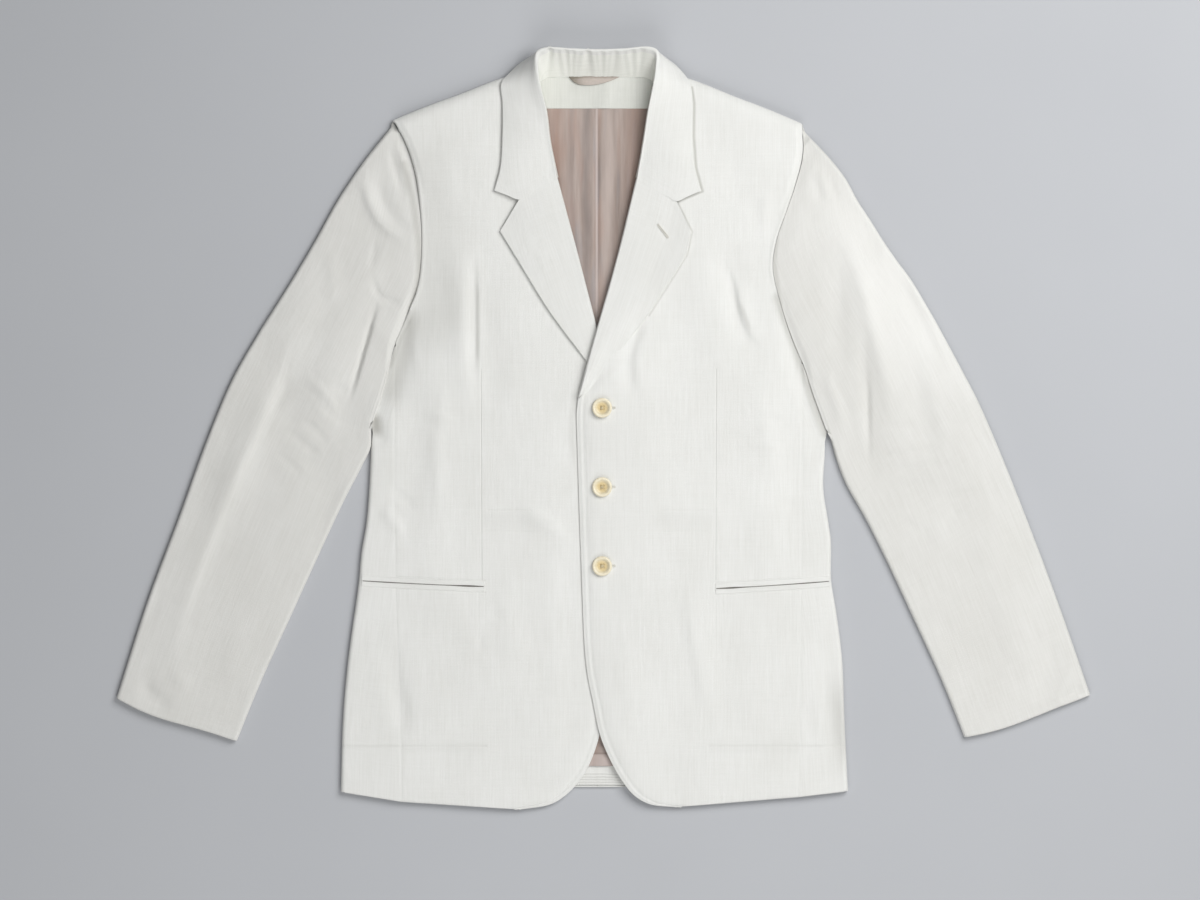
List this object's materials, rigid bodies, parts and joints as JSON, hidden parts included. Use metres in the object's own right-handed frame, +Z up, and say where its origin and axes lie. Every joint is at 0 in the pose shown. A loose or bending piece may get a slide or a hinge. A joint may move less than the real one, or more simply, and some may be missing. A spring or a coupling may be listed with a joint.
{
  "type": "blazer",
  "caption": "Single-breasted tailored jacket with notched lapels and jetted pockets, laid flat on its back and buttoned, with its sleeves down at its sides.",
  "frame": {"origin": "centre of the blazer's footprint on the surface that it lies on", "axes": "+X towards the wearer's left across the width, +Y from the hem towards the collar, +Z up from the surface, out of the front"},
  "size_m": [1.0024, 0.7849, 0.0328],
  "materials": {
    "cloth": "ivory worsted wool in a fine plain weave, matt, soft to the hand",
    "lining": "taupe twill lining with a soft satin sheen",
    "button": "cream casein-like resin with a soft gloss and a raised rim"
  },
  "bodies": {
    "root": {"back": "cloth", "back_hem_turn_up": "cloth", "back_lining": "lining", "back_neck_facing": "cloth", "hanger_loop": "lining", "front_right": "cloth", "front_left": "cloth", "side_panel_right": "cloth", "side_panel_left": "cloth", "lapel_right": "cloth", "lapel_left": "cloth", "top_sleeve_right": "cloth", "top_sleeve_left": "cloth", "under_sleeve_right": "cloth", "under_sleeve_left": "cloth", "collar": "cloth", "collar_stand": "cloth", "pocket_jet_right_upper": "cloth", "pocket_jet_right_lower": "cloth", "pocket_jet_left_upper": "cloth", "pocket_jet_left_lower": "cloth", "button_top": "button", "button_middle": "button", "button_bottom": "button"}
  },
  "joints": []
}
